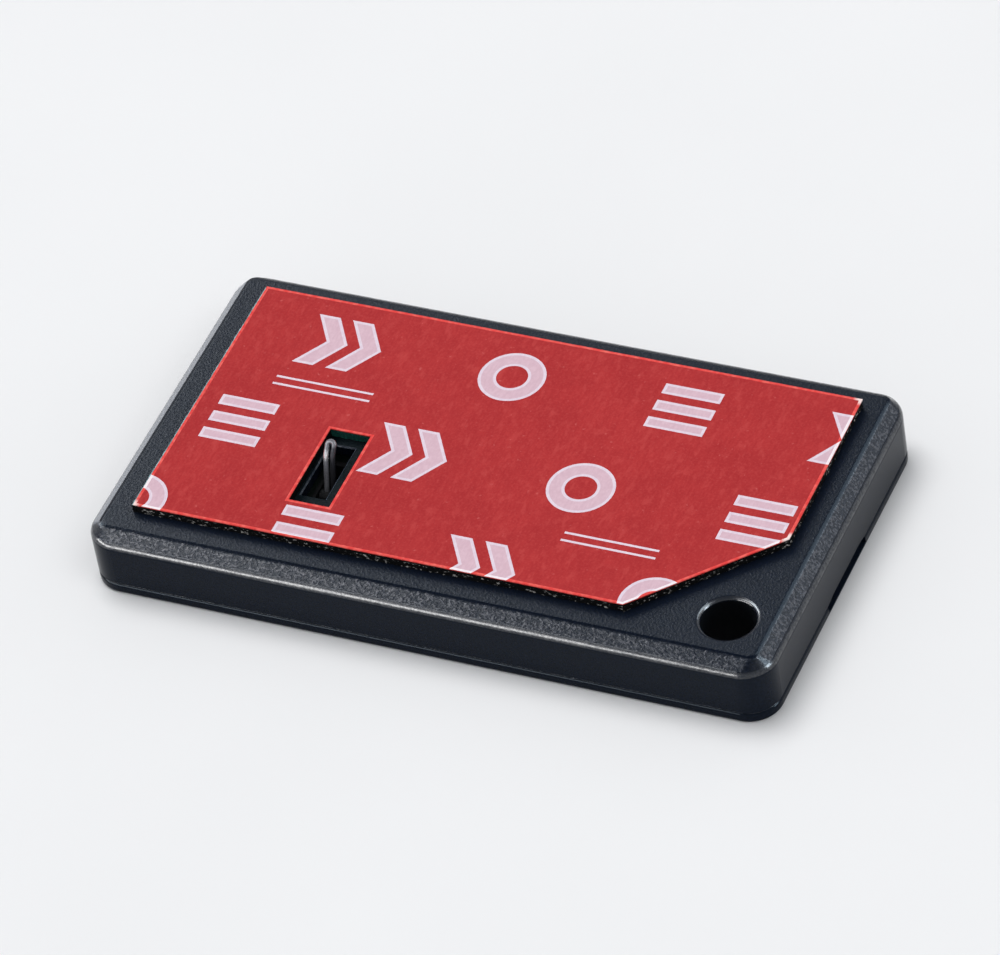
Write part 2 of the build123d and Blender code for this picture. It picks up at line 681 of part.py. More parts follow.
# Wire lever: a hairpin with a knee, whose legs end in the hub
knee = pivot + lower_way * LOWER_LENGTH
leg_top = knee + upper_way * (UPPER_LENGTH - LEG_SPACING / 2)
leg_side = Vector(LEG_SPACING / 2, 0, 0)
leg_foot = pivot + lower_way * WIRE_SEAT
with BuildPart() as tamper_lever:
    with BuildLine() as lever_line:
        FilletPolyline(leg_foot - leg_side, knee - leg_side, leg_top - leg_side, radius=KNEE_R)
        ThreePointArc(leg_top - leg_side, knee + upper_way * UPPER_LENGTH, leg_top + leg_side)
        FilletPolyline(leg_top + leg_side, knee + leg_side, leg_foot + leg_side, radius=KNEE_R)
    with BuildSketch(Plane(origin=leg_foot - leg_side, z_dir=lower_way)):
        Circle(WIRE_R)
    sweep(path=lever_line.wires()[0])
save(tamper_lever, "tamper_lever")

# Hub with its journals and the lobe that pushes the moving contact
with BuildPart() as lever_hub:
    with BuildSketch(Plane.YZ.offset(window_x - HUB_L / 2)):
        with Locations((PIVOT_Y, pivot_z)):
            Circle(HUB_R)
    extrude(amount=HUB_L)
    with BuildSketch(Plane.YZ.offset(window_x - HUB_L / 2 - JOURNAL_L)):
        with Locations((PIVOT_Y, pivot_z)):
            Circle(JOURNAL_R)
    extrude(amount=HUB_L + 2 * JOURNAL_L)
    with BuildSketch(Plane.YZ.offset(window_x - LOBE_W / 2)):
        with Locations((PIVOT_Y, pivot_z - LOBE_R / 2)):
            Rectangle(LOBE_T, LOBE_R)
    extrude(amount=LOBE_W)
    for side in (-1, 1):
        with BuildSketch(Plane(origin=leg_foot + leg_side * side - lower_way * WIRE_FIT, z_dir=lower_way)):
            Circle(WIRE_R + WIRE_FIT)
        extrude(amount=HUB_R, mode=Mode.SUBTRACT)
save(lever_hub, "lever_hub")

# Light pipe between the status lamp and the outside of the cover
with BuildPart() as light_pipe:
    with BuildSketch(Plane.XY.offset(PIPE_RECESS)):
        with Locations(led_at):
            Circle(PIPE_R)
    extrude(amount=board_z - LED_SIZE[2] - PIPE_LED_GAP - PIPE_RECESS)
    with BuildSketch(Plane.XY.offset(COVER_FLOOR)):
        with Locations(led_at):
            Circle(PIPE_FLANGE_R)
    extrude(amount=PIPE_FLANGE_T)
save(light_pipe, "light_pipe")
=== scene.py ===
import json
import math

import bmesh
import bpy
from mathutils import Matrix, Vector, noise
from mathutils.geometry import delaunay_2d_cdt


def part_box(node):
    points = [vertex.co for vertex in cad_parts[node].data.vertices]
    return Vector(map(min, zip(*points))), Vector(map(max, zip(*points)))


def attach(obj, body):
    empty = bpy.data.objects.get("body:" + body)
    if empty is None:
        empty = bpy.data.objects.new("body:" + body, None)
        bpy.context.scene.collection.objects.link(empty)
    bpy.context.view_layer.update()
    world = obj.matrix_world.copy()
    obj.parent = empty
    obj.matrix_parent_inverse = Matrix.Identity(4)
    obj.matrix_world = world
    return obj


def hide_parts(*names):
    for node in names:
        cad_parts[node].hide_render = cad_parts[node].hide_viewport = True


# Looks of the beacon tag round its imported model. Sizes are in mm, and MM turns them into metres.
MM = 0.001

# Camera
CAMERA_AT = (215.059, -378.919, 413.870)
CAMERA_AZIMUTH = 29.5421
CAMERA_ELEVATION = 43.2100
CAMERA_ROLL = 10.0198
CAMERA_LENS = 252.0
CAMERA_SENSOR = 36.0
CAMERA_CLIP = (0.02, 10.0)

# Adhesive pad: cut corner and cut-out
PAD_CUT = (10.7, 10.9)
CUT_OUT_AT = (-12.92, -5.36)
CUT_OUT_SIZE = (3.8, 9.0)

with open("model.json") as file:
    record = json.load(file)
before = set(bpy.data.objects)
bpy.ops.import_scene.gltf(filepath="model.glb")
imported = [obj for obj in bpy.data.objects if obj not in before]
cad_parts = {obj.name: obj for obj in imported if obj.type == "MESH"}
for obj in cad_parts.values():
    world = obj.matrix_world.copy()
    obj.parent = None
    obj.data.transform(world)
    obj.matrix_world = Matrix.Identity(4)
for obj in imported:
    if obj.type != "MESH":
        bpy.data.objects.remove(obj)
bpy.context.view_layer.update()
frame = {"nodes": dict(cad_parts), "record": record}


def rgb(red, green, blue):
    """Linear colour of an 8-bit screen colour."""
    levels = [c / 255 for c in (red, green, blue)]
    return tuple(c / 12.92 if c <= 0.04045 else ((c + 0.055) / 1.055) ** 2.4 for c in levels) + (1.0,)


class Finish:
    """A node material in the making. Its patterns are laid out in mm."""

    def __init__(self, name, colour, roughness, metallic=0.0, specular=0.5):
        self.material = bpy.data.materials.new(name)
        self.material.use_nodes = True
        self.tree = self.material.node_tree
        self.shader = self.tree.nodes["Principled BSDF"]
        coords = self.add("ShaderNodeTexCoord")
        self.normal = coords.outputs["Normal"]
        self.mm = self.stretch((1, 1, 1), coords.outputs["Object"], unit=1 / MM)
        self.set(Base_Color=colour, Roughness=roughness, Metallic=metallic, Specular_IOR_Level=specular)

    def plug(self, socket, value):
        """Links another node's output, or sets a plain value."""
        if isinstance(value, bpy.types.NodeSocket):
            self.tree.links.new(value, socket)
        else:
            socket.default_value = value

    def set(self, **inputs):
        """Sets or links the shader's sockets."""
        for key, value in inputs.items():
            self.plug(self.shader.inputs[key.replace("_", " ")], value)

    def add(self, kind, settings=None, **inputs):
        """A new node with its settings and inputs."""
        made = self.tree.nodes.new(kind)
        for key, value in (settings or {}).items():
            setattr(made, key, value)
        for key, value in inputs.items():
            self.plug(made.inputs[key.replace("_", " ")], value)
        return made

    def math(self, operation, *values):
        """One operation over two or more values, from the left."""
        total = values[0]
        for value in values[1:]:
            made = self.add("ShaderNodeMath", {"operation": operation})
            self.plug(made.inputs[0], total)
            self.plug(made.inputs[1], value)
            total = made.outputs[0]
        return total

    def times(self, *values):
        return self.math("MULTIPLY", *values)

    def plus(self, *values):
        return self.math("ADD", *values)

    def most(self, *values):
        return self.math("MAXIMUM", *values)

    def off(self, value, centre=0.0):
        """How far a value is from a centre, either way."""
        made = self.add("ShaderNodeMath", {"operation": "ABSOLUTE"})
        self.plug(made.inputs[0], self.math("SUBTRACT", value, centre) if centre else value)
        return made.outputs[0]

    def stretch(self, scale, vector=None, unit=1.0):
        """Coordinates scaled along each axis."""
        made = self.add("ShaderNodeMapping", Vector=vector or self.mm)
        made.inputs["Scale"].default_value = [unit * s for s in scale]
        return made.outputs[0]

    def away(self, x, y):
        """Distance in mm from an upright axis through x, y."""
        made = self.add("ShaderNodeVectorMath", {"operation": "DISTANCE"}, Vector=self.stretch((1, 1, 0)))
        made.inputs[1].default_value = (x, y, 0)
        return made.outputs["Value"]

    def noise(self, scale, detail=2.0, roughness=0.5, vector=None, distortion=0.0):
        """Noise with about scale features to the mm."""
        made = self.add(
            "ShaderNodeTexNoise", Vector=vector or self.mm,
            Scale=scale, Detail=detail, Roughness=roughness, Distortion=distortion,
        )
        return made.outputs["Fac"]

    def cells(self, scale, vector=None):
        """Distance to the nearest of scattered points, with about scale points to the mm."""
        return self.add("ShaderNodeTexVoronoi", Vector=vector or self.mm, Scale=scale).outputs["Distance"]

    def ramp(self, value, low, high, to_low=0.0, to_high=1.0):
        """Smooth step of a value between two levels."""
        made = self.add(
            "ShaderNodeMapRange",
            {"interpolation_type": "SMOOTHSTEP"},
            Value=value, From_Min=low, From_Max=high, To_Min=to_low, To_Max=to_high,
        )
        return made.outputs[0]

    def mix(self, share, first, second):
        """Mix of two colours."""
        made = self.add("ShaderNodeMix", {"data_type": "RGBA"})
        for socket, value in zip((made.inputs[0], made.inputs[6], made.inputs[7]), (share, first, second)):
            self.plug(socket, value)
        return made.outputs[2]

    def axis(self, vector, axis):
        """One of the numbers of a vector: X, Y or Z."""
        return self.add("ShaderNodeSeparateXYZ", Vector=vector).outputs[axis]

    def relief(self, *layers):
        """Bump from heights in mm, each a pattern and its depth."""
        height = self.plus(0.0, *(self.times(pattern, depth) for pattern, depth in layers))
        bump = self.add("ShaderNodeBump", Height=height, Distance=MM, Strength=1.0).outputs["Normal"]
        self.set(Normal=bump, Coat_Normal=bump)
        return self


# Places on the case, in mm: reach of the hole's rounded rim, foot of the bevel, and the roof's upper face
HOLE_REACH = (2.9, 3.2)
BEVEL_FOOT = (4.6, 4.9)
ROOF_FROM = (6.0, 6.2)
CUT_OUT_MARGIN = 0.1
# Kinds of faces, told apart by the upright part of their normal: the range where each fades in, and out again
BEVEL_FROM, BEVEL_TO = (0.64, 0.73), (0.93, 0.80)
EDGE_FROM, EDGE_TO = (0.12, 0.24), (0.70, 0.58)
RIM_FROM, RIM_TO = (0.25, 0.5), (0.99, 0.93)
FLAT_FROM = (0.93, 0.995)
LEDGE_FROM = (0.9, 0.97)
BORE_TO = (0.30, 0.15)
# the same for the left bevel, by the x part of its normal
LEFT_FROM = (-0.45, -0.62)


def moulded_case():
    """Blue-black plastic: spark texture on flat faces, worm-like grain on bevels with its crests painted
    lighter as highlights, gloss on edges and rims, a painted reflection on the left bevel, and painted shade
    in the hole and the cut-out.
    """
    made = Finish("moulded_case", rgb(13, 18, 30), 0.3, specular=0.10)
    up = made.off(made.axis(made.normal, "Z"))
    x, y, z = (made.axis(made.mm, axis) for axis in "XYZ")

    # where: each of these is 1 on its part of the case and 0 elsewhere
    hole = next(mount for mount in frame["record"]["mounts"] if mount["name"] == "lanyard_hole")
    clear_of_hole = made.ramp(made.away(*(c / MM for c in hole["pos_m"][:2])), *HOLE_REACH)
    by_hole = made.ramp(clear_of_hole, 1.0, 0.0)
    bevel = made.times(made.ramp(up, *BEVEL_FROM), made.ramp(up, *BEVEL_TO), clear_of_hole)
    left = made.times(made.ramp(made.axis(made.normal, "X"), *LEFT_FROM), made.ramp(up, *BEVEL_TO))
    flat = made.ramp(up, *FLAT_FROM)
    edge = made.times(made.ramp(up, *EDGE_FROM), made.ramp(up, *EDGE_TO))
    rim = made.times(by_hole, made.ramp(up, *RIM_TO), made.ramp(up, *RIM_FROM))
    bore = made.times(by_hole, made.ramp(up, *BORE_TO))
    # the roof inside the cut-out of the pad is rougher, and painted near-black green-blue as shade in that
    # recess
    from_middle = (
        made.math("DIVIDE", made.off(place, at), size / 2 + CUT_OUT_MARGIN)
        for place, at, size in zip((x, y), CUT_OUT_AT, CUT_OUT_SIZE)
    )
    inside = made.ramp(made.most(*from_middle), 1.0, 0.99)
    ledge = made.times(inside, made.ramp(up, *LEDGE_FROM), made.ramp(z, *ROOF_FROM))

    # patterns
    worms = made.noise(3.6, 2.0, 0.5, made.stretch((0.8, 1.2, 1.2)), distortion=0.5)
    crest = made.ramp(worms, 0.46, 0.62)
    beads = made.ramp(made.noise(4.5, 1.0, 0.5), 0.36, 0.60, 0.6, 1.0)
    fine = made.noise(5.5, 2.0, 0.5)

    colour = made.mix(made.ramp(fine, 0.35, 0.70), rgb(8, 14, 25), rgb(13, 20, 34))
    for share, tone in (
        # lighter crests of the grain: painted highlights on the grain
        (made.times(crest, bevel), rgb(34, 38, 50)),
        # painted reflection of the pale surround: light blue-grey on the left bevel
        (made.times(left, bevel), rgb(72, 79, 94)),
        # painted shade: the wall of the hole darkened to near black
        (bore, rgb(3, 4, 7)),
        # painted shade on the roof inside the cut-out
        (ledge, rgb(1, 6, 9)),
    ):
        colour = made.mix(share, colour, tone)
    gloss = made.times(made.most(made.times(edge, beads), made.times(rim, 0.9)), made.ramp(z, *BEVEL_FOOT))
    gloss = made.most(gloss, made.times(made.most(left, made.ramp(crest, 0.0, 1.0, 0.22, 0.56)), bevel))
    gloss = made.times(gloss, made.ramp(inside, 0.0, 1.0, 1.0, 0.4))
    rough = made.plus(
        made.times(bevel, 0.20),
        made.ramp(up, 0.97, 0.995, 0.18, 0.38),
        made.times(bevel, crest, -0.10),
        made.times(flat, made.ramp(fine, 0.30, 0.70, 0.08, -0.08)),
        made.ramp(made.noise(1.1, 4.0, 0.6), 0.3, 0.7, -0.02, 0.02),
        made.times(made.most(ledge, bore), 0.4),
    )
    made.set(Base_Color=colour, Roughness=rough, Specular_Tint=(0.74, 0.89, 1.0, 1.0))
    made.set(Coat_Weight=gloss, Coat_Roughness=0.24, Coat_IOR=1.6)

    # the grain of the bevels is weaker at the ends of the case and left off on the left bevel
    along = made.ramp(made.off(made.axis(made.normal, "Y")), 0.25, 0.55, 0.45, 1.0)
    grained = made.times(bevel, made.math("SUBTRACT", 1.0, left))
    return made.relief(
        (made.times(worms, grained, along), 0.070),
        (made.times(fine, made.most(flat, made.times(grained, 0.3))), 0.042),
        (made.noise(24.0, 2.0, 0.5), 0.0012),
    )


# Heights in mm between which the torn specks of the foam's outer walls fade out
TORN_BELOW = (7.40, 7.15)


def black_foam():
    """Closed-cell black foam, with pale torn specks where it is cut."""
    made = Finish("black_foam", rgb(4, 5, 6), 0.6, specular=0.12)
    up = made.axis(made.normal, "Z")
    side = made.ramp(made.off(up), 0.9, 0.5)
    speck = made.times(
        made.ramp(made.noise(2.6, 3.0, 0.65, made.stretch((1, 1, 1.6))), 0.57, 0.69),
        side,
        made.ramp(made.axis(made.mm, "Z"), *TORN_BELOW),
    )
    # clear adhesive that shows where the film stops short of the foam
    film_from = pad_corners()[0][0] + FILM_SHORT
    bare = made.times(
        made.ramp(made.axis(made.mm, "X"), film_from + 0.06, film_from),
        made.ramp(up, 0.5, 0.9),
        made.ramp(made.noise(0.6, 3.0, 0.6), 0.30, 0.60, 0.35, 1.0),
    )
    colour = made.mix(speck, rgb(4, 5, 6), rgb(190, 187, 183))
    made.set(Base_Color=made.mix(bare, colour, rgb(150, 190, 196)))
    made.set(Roughness=made.ramp(side, 0.0, 1.0, 0.25, 0.8))
    return made.relief((made.cells(7.0), 0.03), (made.noise(14.0, 2.0), 0.012))


def cut_foam():
    """Foam on the walls of the cut-out, with finer cells: black on the long walls, and a patchy green-blue
    painted sheen on the short.
    """
    made = Finish("cut_foam", rgb(6, 16, 16), 0.8, specular=0.12)
    patch = made.noise(5.0, 3.0, 0.6)
    end = made.ramp(made.off(made.axis(made.normal, "Y")), 0.5, 0.8)
    # painted sheen on the short walls, in patches
    painted_sheen = made.mix(made.ramp(patch, 0.35, 0.70), rgb(18, 66, 60), rgb(34, 98, 88))
    made.set(Base_Color=made.mix(end, rgb(4, 7, 8), painted_sheen))
    return made.relief((made.cells(9.0), 0.02), (made.noise(16.0, 2.0), 0.008))


def red_film():
    """Red release film with a faint drawn grain, cloudy patches and dust."""
    made = Finish("red_film", rgb(176, 44, 47), 0.42, specular=0.25)
    grain = made.noise(1.0, 3.0, 0.6, made.stretch((5.0, 1.1, 1.0)))
    cloud = made.noise(0.22, 4.0, 0.6)
    brushed = made.noise(0.9, 3.0, 0.65, made.stretch((1.6, 0.8, 1.0)))
    mottle = made.noise(4.5, 2.0, 0.6)
    dust = made.ramp(made.noise(2.4, 2.0, 0.5), 0.68, 0.78)
    colour = made.mix(made.ramp(grain, 0.3, 0.7), rgb(171, 40, 43), rgb(181, 49, 50))
    for share, tone in (
        (made.ramp(cloud, 0.35, 0.65, 0.0, 0.45), rgb(161, 33, 38)),
        (made.ramp(brushed, 0.50, 0.72, 0.0, 0.45), rgb(196, 70, 68)),
        (made.ramp(mottle, 0.45, 0.72, 0.0, 0.30), rgb(198, 72, 70)),
        (made.times(dust, 0.35), rgb(222, 120, 116)),
    ):
        colour = made.mix(share, colour, tone)
    made.set(Base_Color=colour, Roughness=made.ramp(grain, 0.3, 0.7, 0.38, 0.48))
    return made.relief((grain, 0.004), (made.noise(0.25, 2.0), 0.03), (made.noise(11.0, 2.0), 0.002))


WHITENED_CORNERS = (0, 2, 3)


def red_film_edge():
    """Cut edge of the film, painted brighter red as a highlight, in patches, and white near three corners."""
    made = Finish("red_film_edge", rgb(246, 82, 76), 0.4)
    # the band along the cut edge is a painted highlight, brighter red in patches
    highlight_patches = made.noise(1.6, 3.0, 0.6)
    colour = made.mix(made.ramp(highlight_patches, 0.35, 0.75), rgb(226, 56, 54), rgb(244, 108, 98))
    corners = pad_corners("release_liner")
    to_white_corner = made.math("MINIMUM", *(made.away(*corners[k]) for k in WHITENED_CORNERS))
    made.set(Base_Color=made.mix(made.ramp(to_white_corner, 0.9, 0.3), colour, rgb(250, 226, 222)))
    return made.relief((made.noise(6.0, 2.0), 0.01))


def pale_ink(name, colour, painted_knee_highlight):
    """Opaque printing ink with a slightly uneven coat and fine hatching."""
    made = Finish(name, colour, 0.5, specular=0.35)
    patch = made.noise(2.2, 4.0, 0.65)
    hatch = made.noise(1.0, 2.0, 0.5, made.stretch((7.0, 1.6, 1.0)))
    coat = made.plus(made.times(patch, 0.6), made.times(hatch, 0.4))
    made.set(Base_Color=made.mix(made.ramp(coat, 0.38, 0.66), colour, painted_knee_highlight))
    return made.relief((made.noise(9.0, 2.0), 0.003))


def plain(name, colour, other, roughness, metallic=0.0, scale=4.0):
    """A finish with a mild change of colour and a fine relief, for the small parts inside."""
    made = Finish(name, colour, roughness, metallic)
    patch = made.noise(scale, 3.0, 0.6)
    made.set(Base_Color=made.mix(made.ramp(patch, 0.35, 0.7), colour, other))
    made.set(Roughness=made.ramp(patch, 0.3, 0.7, roughness * 0.85, roughness * 1.15))
    return made.relief((patch, 0.003))


# How far the lever's knee is below its top, in mm
KNEE_DROP = 1.15


def lever_wire():
    """Spring wire, with a painted highlight over the knee of one leg, where it is also smoother; above the
    knee it is painted darker, and the other leg below the loop is painted dark as shade.
    """
    made = Finish("lever_steel", rgb(205, 205, 212), 0.34, 0.7)
    low, high = (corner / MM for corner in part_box("tamper_lever"))
    middle, knee = (low.x + high.x) / 2, high.z - KNEE_DROP
    x, z = (made.axis(made.mm, axis) for axis in "XZ")
    near = made.ramp(x, middle + 0.08, middle - 0.08)
    painted_knee_highlight = made.times(near, made.ramp(made.off(z, knee), 0.60, 0.1))
    loop = made.ramp(z, high.z - 0.55, high.z - 0.25)
    patch = made.noise(6.0, 3.0, 0.6)
    colour = made.mix(made.ramp(patch, 0.35, 0.7), rgb(208, 208, 216), rgb(186, 186, 194))
    # painted shade: darker above the knee
    colour = made.mix(made.ramp(z, knee + 0.15, knee + 0.5), colour, rgb(148, 148, 154))
    # painted shade on the other leg, below the loop
    colour = made.mix(made.most(near, loop), rgb(74, 74, 80), colour)
    # painted highlight over the knee of the near leg, which is also smoother
    made.set(Base_Color=made.mix(painted_knee_highlight, colour, rgb(246, 246, 248)))
    made.set(Roughness=made.plus(made.ramp(patch, 0.3, 0.7, 0.32, 0.40), made.times(painted_knee_highlight, -0.1)))
    return made.relief((patch, 0.003))


def drawn_steel(name, colour, roughness, stretch):
    """Bright metal with the fine lines of drawing or rolling."""
    made = Finish(name, colour, roughness, 1.0)
    lines = made.noise(6.0, 3.0, 0.6, made.stretch(stretch))
    made.set(Roughness=made.ramp(lines, 0.3, 0.7, roughness * 0.75, roughness * 1.3))
    return made.relief((lines, 0.002))


def board_mask():
    """Dark green solder mask over the board, with the small plated holes that join its layers."""
    made = Finish("board_mask", rgb(8, 18, 15), 0.35)
    patch = made.noise(1.4, 3.0, 0.6)
    colour = made.mix(made.ramp(patch, 0.35, 0.7), rgb(8, 20, 16), rgb(13, 30, 23))
    hole = made.cells(0.42, made.stretch((1, 1, 0)))
    colour = made.mix(made.ramp(hole, 0.11, 0.08), colour, rgb(150, 128, 66))
    made.set(Base_Color=made.mix(made.ramp(hole, 0.05, 0.035), colour, rgb(6, 8, 8)))
    return made.relief((patch, 0.003))


def clear_plastic():
    """Clear moulded plastic, faintly uneven."""
    made = Finish("clear_plastic", (1.0, 1.0, 1.0, 1.0), 0.12)
    made.set(Transmission_Weight=1.0, IOR=1.49)
    return made.relief((made.noise(3.0, 2.0), 0.002))


def dress_nodes():
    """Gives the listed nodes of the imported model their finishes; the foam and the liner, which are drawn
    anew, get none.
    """
    case = moulded_case()
    gold = plain("gold_plate", rgb(222, 178, 96), rgb(206, 160, 80), 0.28, 1.0)
    package = plain("package_resin", rgb(26, 26, 28), rgb(34, 34, 36), 0.5, scale=12.0)
    can = drawn_steel("can_steel", rgb(196, 196, 194), 0.3, (1, 6, 1))
    cell = drawn_steel("cell_steel", rgb(206, 206, 204), 0.26, (1, 5, 1))
    nickel = drawn_steel("spring_nickel", rgb(214, 208, 196), 0.28, (6, 1, 1))
    bronze = drawn_steel("contact_bronze", rgb(200, 146, 96), 0.3, (1, 6, 1))
    ceramic = plain("ceramic_tan", rgb(176, 140, 100), rgb(160, 124, 86), 0.5)
    switch = plain("switch_resin", rgb(22, 22, 24), rgb(29, 29, 31), 0.45, scale=6.0)
    finishes = {
        case: ["rear_housing", "front_cover", "cover_snaps"],
        board_mask(): ["circuit_board"],
        gold: ["antenna_trace", "test_pads"],
        package: ["radio_chip", "motion_sensor", "chip_resistors"],
        can: ["main_crystal", "sleep_crystal"],
        ceramic: ["chip_capacitors", "bulk_capacitor"],
        plain("ferrite_grey", rgb(62, 62, 66), rgb(76, 76, 80), 0.6): ["chip_inductors"],
        plain("lamp_white", rgb(236, 230, 196), rgb(226, 218, 180), 0.4): ["status_led"],
        cell: ["cell_can", "cell_cap"],
        plain("gasket_grey", rgb(120, 122, 124), rgb(110, 112, 114), 0.6): ["cell_gasket"],
        plain("pellet_black", rgb(30, 30, 30), rgb(44, 44, 44), 0.9): ["cell_cathode"],
        plain("anode_foil", rgb(170, 172, 176), rgb(150, 152, 156), 0.4, 1.0): ["cell_anode"],
        nickel: ["cell_clip", "cell_negative_contact"],
        switch: ["switch_base", "switch_lid", "lever_hub"],
        bronze: ["switch_moving_contact", "switch_fixed_contact"],
        lever_wire(): ["tamper_lever"],
        plain("seal_silicone", rgb(70, 72, 76), rgb(80, 82, 86), 0.55): ["perimeter_seal"],
        clear_plastic(): ["light_pipe"],
    }
    for finish, names in finishes.items():
        for name in names:
            for slot in frame["nodes"][name].material_slots:
                slot.material = finish.material


def pad_corners(node="adhesive_foam"):
    """Outline of the pad, or of the film on it, counter-clockwise and in mm."""
    low, high = (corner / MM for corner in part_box(node))
    cut_x, cut_y = PAD_CUT
    return [
        (low.x, low.y), (high.x - cut_x, low.y), (high.x, low.y + cut_y), (high.x, high.y), (low.x, high.y),
    ]


def cut_out_corners():
    """Outline of the pad's cut-out, counter-clockwise and in mm."""
    x, y = CUT_OUT_AT
    half_x, half_y = CUT_OUT_SIZE[0] / 2, CUT_OUT_SIZE[1] / 2
    left, right, front, back = x - half_x, x + half_x, y - half_y, y + half_y
    return [(left, front), (right, front), (right, back), (left, back)]


def drawn_in(corners, rim):
    """A counter-clockwise outline with each side moved inwards by rim."""
    made = []
    for before, here, after in zip(corners[-1:] + corners[:-1], corners, corners[1:] + corners[:1]):
        sides = [(Vector(b) - Vector(a)).normalized() for a, b in ((before, here), (here, after))]
        first, second = (Vector((-side.y, side.x)) for side in sides)
        made.append(tuple(Vector(here) + (first + second) * (rim / (1 + first.dot(second)))))
    return made


def walk(corners, pitch):
    """Points round a closed outline, no further apart than pitch."""
    points = []
    for start, end in zip(corners, corners[1:] + corners[:1]):
        start, end = Vector(start), Vector(end)
        count = max(1, math.ceil((end - start).length / pitch))
        points += [start.lerp(end, k / count) for k in range(count)]
    return points


def mesh_object(name, bm, *finishes):
    """An object with its finishes, from a bmesh in mm."""
    bmesh.ops.scale(bm, vec=(MM, MM, MM), verts=bm.verts)
    mesh = bpy.data.meshes.new(name)
    bm.to_mesh(mesh)
    bm.free()
    for finish in finishes:
        mesh.materials.append(finish.material)
    made = bpy.data.objects.new(name, mesh)
    bpy.context.scene.collection.objects.link(made)
    return made


# Foam: walls torn by the cutter
FOAM_PITCH = 0.11
FOAM_LEVELS = 8
FOAM_TEAR = 0.10
# pits of the torn walls: share of the tear's depth, and features to the mm along the wall and up it
FOAM_PITS = ((0.5, 3.1, 5.0), (0.35, 8.3, 11.0))


def foam_wall(bm, corners, bottom, top):
    """A wall of the foam with the foam on its left, pitted by tears, and its lower and upper edge."""
    points = walk(corners, FOAM_PITCH)
    rings = []
    for level in range(FOAM_LEVELS + 1):
        z = bottom + (top - bottom) * level / FOAM_LEVELS
        ring = []
        for k, point in enumerate(points):
            ahead = points[(k + 1) % len(points)] - points[k - 1]
            inward = Vector((-ahead.y, ahead.x)).normalized()
            pit = 0.5
            for share, along, rise in FOAM_PITS:
                pit += share * noise.noise(Vector((point.x * along, point.y * along, z * rise)))
            place = point + inward * FOAM_TEAR * max(0.0, min(1.0, pit))
            ring.append(bm.verts.new((place.x, place.y, z)))
        rings.append(ring)
    for low, high in zip(rings, rings[1:]):
        for k in range(len(points)):
            bm.faces.new([low[k - 1], low[k], high[k], high[k - 1]])
    return rings[0], rings[-1]


def cap(bm, outer, inner, up):
    """Flat end of the foam between its outer edge and its cut-out."""
    edges = [bm.edges.get((ring[k - 1], ring[k])) for ring in (outer, inner) for k in range(len(ring))]
    made = bmesh.ops.triangle_fill(bm, edges=edges, use_beauty=True)
    faces = [f for f in made["geom"] if isinstance(f, bmesh.types.BMFace)]
    bmesh.ops.recalc_face_normals(bm, faces=faces)
    if faces[0].normal.z * up < 0:
        bmesh.ops.reverse_faces(bm, faces=faces)


def foam_pad():
    """The foam tape pad with its torn walls."""
    low, high = (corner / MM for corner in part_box("adhesive_foam"))
    bm = bmesh.new()
    outer = foam_wall(bm, pad_corners(), low.z, high.z)
    outer_faces = len(bm.faces)
    inner = foam_wall(bm, cut_out_corners()[::-1], low.z, high.z)
    bm.faces.ensure_lookup_table()
    for face in bm.faces[outer_faces:]:
        face.material_index = 1
    for k, up in ((0, -1), (1, 1)):
        cap(bm, outer[k], inner[k], up)
    pad = mesh_object("foam_pad", bm, black_foam(), cut_foam())
    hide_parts("adhesive_foam")
    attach(pad, "tag_body")


# Release film and its print
FILM_PITCH = 0.9
FILM_BAND = 0.25
FILM_SHORT = 0.20
FILM_LIFT = 0.035
# waves of the film: share of the lift, features to the mm, and a place of its own in the noise
FILM_WAVES = ((1.0, 0.13, 3.0), (0.5, 0.35, 8.0))
FILM_CURL = (0.5, 20.0)
INK_RIM = 0.27
INK_T = 0.004
PRINT_FROM = (4.0, -13.2)
PRINT_PITCH = 16.0
PRINT_ROW = (5.0, 11.2)
PRINT_ROWS = 3
PRINT_COLUMNS = range(-2, 3)
# marks of the print, in mm: reach, height and stroke of a chevron, radii of a ring, sides of a bar, and
# how far the marks of a group are from its middle
CHEVRON = (4.0, 6.2, 2.0)
CHEVRON_SHIFTS = (-1.6, 1.6)
RING = (3.0, 1.4)
RING_SIDES = 40
BAR = (5.4, 1.25)
BAR_SHIFTS = (-2.1, 0.0, 2.1)
# thin rules: middle and length of each pair, their width and how far they are from the middle
RULES = ((14.0, -7.8, 8.6), (-17.5, 3.6, 9.2))
RULE_WIDTH = 0.24
RULE_SHIFTS = (-0.45, 0.45)


def placed(points, x, y):
    """An outline moved to x, y."""
    return [(x + u, y + v) for u, v in points]


def bar(length, width):
    """A rectangle round the middle."""
    a, b = length / 2, width / 2
    return [(-a, -b), (a, -b), (a, b), (-a, b)]


def chevron(reach, tall, stroke):
    """A stroke bent to a point along +x."""
    a, h = reach / 2, tall / 2
    return [(-a, -h), (stroke - a, -h), (a, 0), (stroke - a, h), (-a, h), (a - stroke, 0)]


def disc(radius):
    """A circle round the middle."""
    turns = (math.tau * k / RING_SIDES for k in range(RING_SIDES))
    return [(radius * math.cos(turn), radius * math.sin(turn)) for turn in turns]


